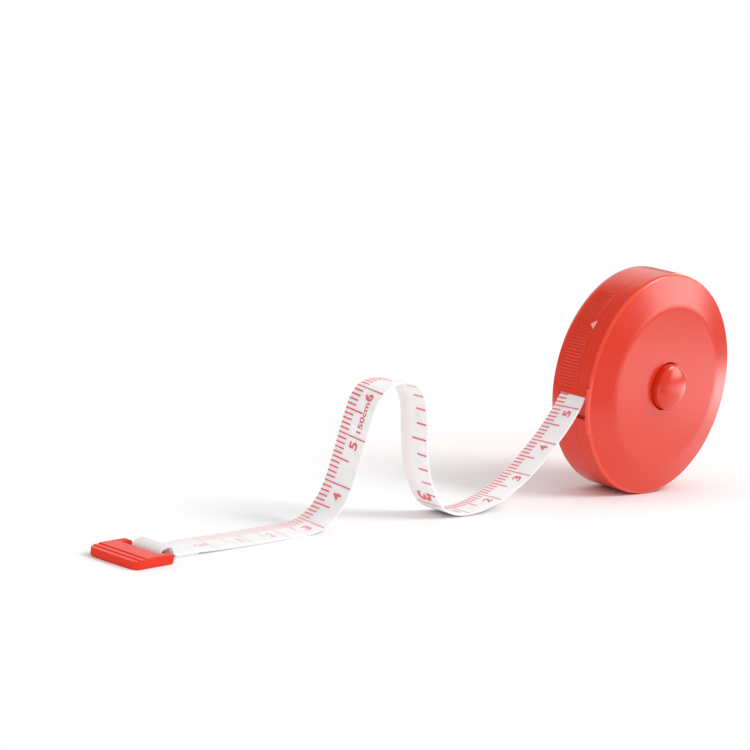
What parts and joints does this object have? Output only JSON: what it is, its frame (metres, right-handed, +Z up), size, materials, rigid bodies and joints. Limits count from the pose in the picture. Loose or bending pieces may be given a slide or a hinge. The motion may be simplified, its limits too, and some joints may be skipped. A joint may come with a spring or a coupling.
{
  "type": "retractable tape measure",
  "caption": "Round pocket tape measure for sewing, with a spring reel and push button in a two-part case; its flexible tape is drawn out in a wave and ends in a buckle tab.",
  "frame": {"origin": "on the surface that the case's rim stands on, under the middle of the case and button together, so 1.3 mm in front of the middle of the case's depth", "axes": "+Z up; -Y out of the front face with the push button, along the case's axis; +Y out of the flat back face; the tape leaves towards -X"},
  "size_m": [0.1829, 0.0182, 0.0506],
  "materials": {
    "shell_red": "glossy moulded plastic",
    "pointer_pink": "satin",
    "tape_white": "satin coated glass-fibre cloth",
    "inner_plastic": "moulded acetal",
    "spring_steel": "bright drawn",
    "pad_rubber": "matte"
  },
  "bodies": {
    "case": {"back_shell": "shell_red", "front_cover": "shell_red", "mouth_guide": "shell_red", "pointer_mark": "pointer_pink", "centre_post": "inner_plastic", "button_spring": "spring_steel", "power_spring": "spring_steel", "free_tape": "tape_white", "tape_end_fold": "tape_white"},
    "button": {"button_cap": "shell_red", "stem_clip": "spring_steel", "brake_disc": "inner_plastic", "brake_pad": "pad_rubber"},
    "reel": {"reel_drum": "inner_plastic", "reel_front_flange": "inner_plastic", "reel_rear_flange": "inner_plastic", "reel_bush": "inner_plastic", "tape_anchor": "inner_plastic", "wound_tape": "tape_white"},
    "tab": {"end_tab": "shell_red"}
  },
  "joints": [
    {"name": "button_press", "type": "slide", "parent": "case", "child": "button", "axis": [0, 1, 0], "range_m": [0, 0.0013], "stiffness_N_per_m": 700, "springref_m": -0.001, "deforming": ["button_spring"]},
    {"name": "reel_spin", "type": "hinge", "parent": "case", "child": "reel", "pos_m": [0, 0.0013, 0.0253], "axis": [0, -1, 0], "range_deg": [-425, 4245], "deforming": ["power_spring"]},
    {"name": "tab_hinge", "type": "hinge", "parent": "case", "child": "tab", "pos_m": [-0.14754, -0.00369, 0.001], "axis": [-0.1045, 0.9945, 0], "range_deg": [0, 115]}
  ]
}
